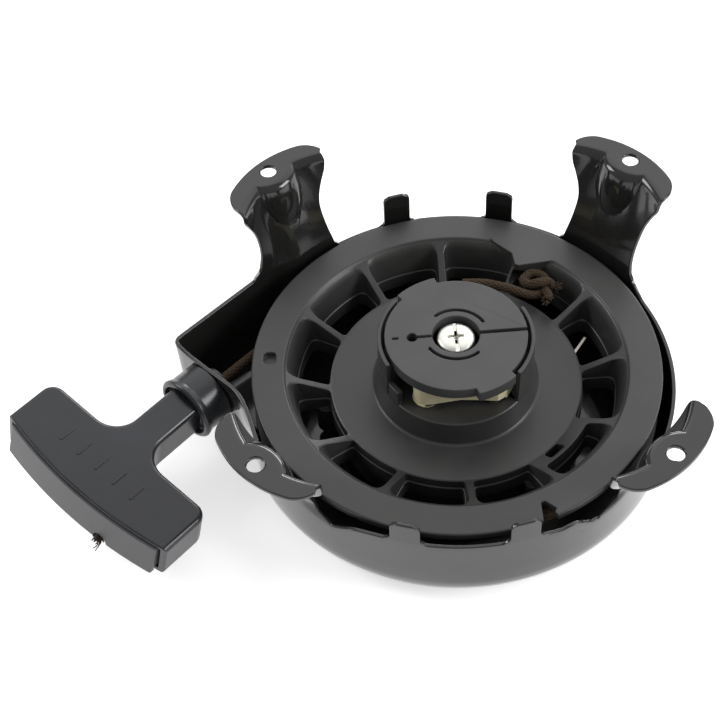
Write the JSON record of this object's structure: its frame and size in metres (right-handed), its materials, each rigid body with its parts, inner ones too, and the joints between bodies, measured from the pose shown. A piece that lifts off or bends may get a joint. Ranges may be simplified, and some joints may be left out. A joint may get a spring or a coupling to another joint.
{
  "type": "recoil starter",
  "caption": "Pull-rope recoil starter for a small petrol engine: pressed steel housing with ears, spoked rope pulley, pawls, friction disc and a T handle.",
  "frame": {"origin": "centre of the four bolt holes, on the face that meets the engine", "axes": "+Z out of the mounting face, along the pulley's axis towards the engine; +X along the front and back pairs of ears; the rope leaves towards -X and -Y"},
  "size_m": [0.2299, 0.1548, 0.0658],
  "materials": {
    "housing_steel": "gloss black baked enamel on pressed steel sheet",
    "post_steel": "turned bare steel, lightly oiled",
    "zinc_steel": "bright zinc plating",
    "spring_steel": "tempered steel strip, oiled",
    "bush_plastic": "satin black moulded plastic",
    "pulley_plastic": "satin black moulded plastic",
    "cover_plastic": "satin black moulded plastic",
    "disc_plastic": "matt dark grey moulded plastic",
    "pawl_nylon": "satin cream nylon",
    "handle_plastic": "satin blue-black moulded plastic",
    "cap_plastic": "satin blue-black moulded plastic",
    "rope": "braided nylon cord, dark brown"
  },
  "bodies": {
    "base": {"housing": "housing_steel", "centre_post": "post_steel", "rope_bush": "bush_plastic", "bush_clip": "zinc_steel", "thrust_washer": "zinc_steel", "retaining_washer": "zinc_steel", "friction_spring": "spring_steel", "disc_sleeve": "post_steel", "lock_washer": "zinc_steel", "centre_screw": "zinc_steel"},
    "pulley": {"pulley": "pulley_plastic", "recoil_spring": "spring_steel", "spring_cover": "cover_plastic", "cover_screws": "zinc_steel", "rope_coil": "rope", "rope_knot": "rope"},
    "disc": {"friction_disc": "disc_plastic"},
    "pawl_front": {"pawl_front": "pawl_nylon"},
    "pawl_back": {"pawl_back": "pawl_nylon"},
    "handle": {"handle_body": "handle_plastic", "handle_cap": "cap_plastic", "handle_washer": "zinc_steel", "handle_knot": "rope", "rope_run": "rope"}
  },
  "joints": [
    {"name": "pulley_spin", "type": "hinge", "parent": "base", "child": "pulley", "pos_m": [0, 0, -0.0318], "axis": [0, 0, 1], "range_deg": [0, 1080], "stiffness_Nm_per_rad": 0.02, "springref_deg": -687.55},
    {"name": "handle_pull", "type": "slide", "parent": "base", "child": "handle", "axis": [-0.6947, -0.7193, 0], "range_m": [0, 1.17]},
    {"name": "disc_turn", "type": "hinge", "parent": "pulley", "child": "disc", "pos_m": [0, 0, -0.0188], "axis": [0, 0, 1], "range_deg": [-35, 0]},
    {"name": "pawl_front_swing", "type": "hinge", "parent": "pulley", "child": "pawl_front", "pos_m": [-0.01059, -0.01517, -0.0268], "axis": [0, 0, 1], "range_deg": [-25, 0]},
    {"name": "pawl_back_swing", "type": "hinge", "parent": "pulley", "child": "pawl_back", "pos_m": [0.01059, 0.01517, -0.0268], "axis": [0, 0, 1], "range_deg": [-25, 0]}
  ],
  "couplings": [
    {"joint": "handle_pull", "follows": "pulley_spin", "m_per_rad": 0.062},
    {"joint": "pawl_front_swing", "follows": "disc_turn", "ratio": 0.71428},
    {"joint": "pawl_back_swing", "follows": "disc_turn", "ratio": 0.71428}
  ]
}
